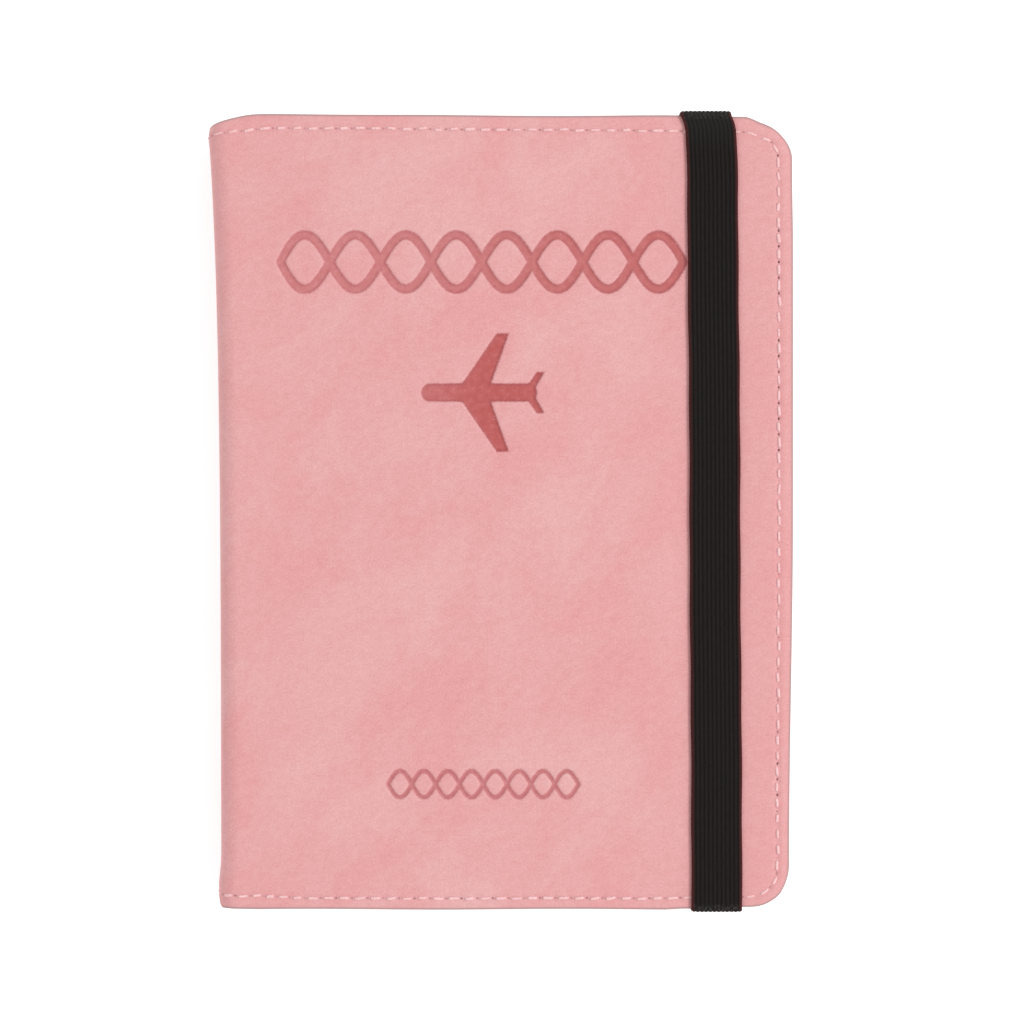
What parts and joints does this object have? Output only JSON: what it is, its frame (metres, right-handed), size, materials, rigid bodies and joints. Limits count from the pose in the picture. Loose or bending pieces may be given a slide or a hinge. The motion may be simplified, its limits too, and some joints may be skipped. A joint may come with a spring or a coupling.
{
  "type": "passport holder",
  "caption": "Folding leather passport holder with a soft rounded spine, inner sleeve and card slots, stitched edges, pressed decoration and an elastic band closure.",
  "frame": {"origin": "middle of the closed holder's footprint, on the back cover's outer face", "axes": "+X from the spine to the fore-edge, +Y from tail to head, +Z out through the front cover"},
  "size_m": [0.105, 0.1448, 0.0143],
  "materials": {
    "cover_leather": "soft matt pink leather with a faint cloudy mottle",
    "pocket_leather": "thin matt pink leather",
    "lining_fabric": "plain woven lining",
    "board": "raw fibre board",
    "shield_film": "thin metallised film",
    "thread": "pale twisted thread",
    "elastic": "black woven elastic with lengthwise ribs"
  },
  "bodies": {
    "back": {"back_outer_panel": "cover_leather", "back_board": "board", "back_rfid_film": "shield_film", "back_lining": "lining_fabric", "passport_sleeve": "pocket_leather", "back_seam_thread": "thread", "band_end_head": "elastic", "band_end_tail": "elastic"},
    "spine": {"spine_outer_panel": "cover_leather", "spine_lining": "lining_fabric", "spine_seam_thread_head": "thread", "spine_seam_thread_tail": "thread"},
    "front": {"front_outer_panel": "cover_leather", "front_board": "board", "front_rfid_film": "shield_film", "front_lining": "lining_fabric", "slip_pocket": "pocket_leather", "card_slot_1": "pocket_leather", "card_slot_2": "pocket_leather", "card_slot_3": "pocket_leather", "card_slot_seam_thread": "thread", "front_seam_thread": "thread"},
    "band": {"elastic_band": "elastic"}
  },
  "joints": [
    {"name": "spine_fold", "type": "hinge", "parent": "back", "child": "spine", "pos_m": [-0.05175, 0, 0.00075], "axis": [0, -1, 0], "range_deg": [0, 90]},
    {"name": "front_fold", "type": "hinge", "parent": "spine", "child": "front", "pos_m": [-0.05175, 0, 0.01275], "axis": [0, -1, 0], "range_deg": [0, 90]},
    {"name": "band_swing", "type": "hinge", "parent": "back", "child": "band", "pos_m": [0.0386, 0, 0.00675], "axis": [0, 1, 0], "range_deg": [0, 180], "deforming": ["elastic_band"]}
  ]
}
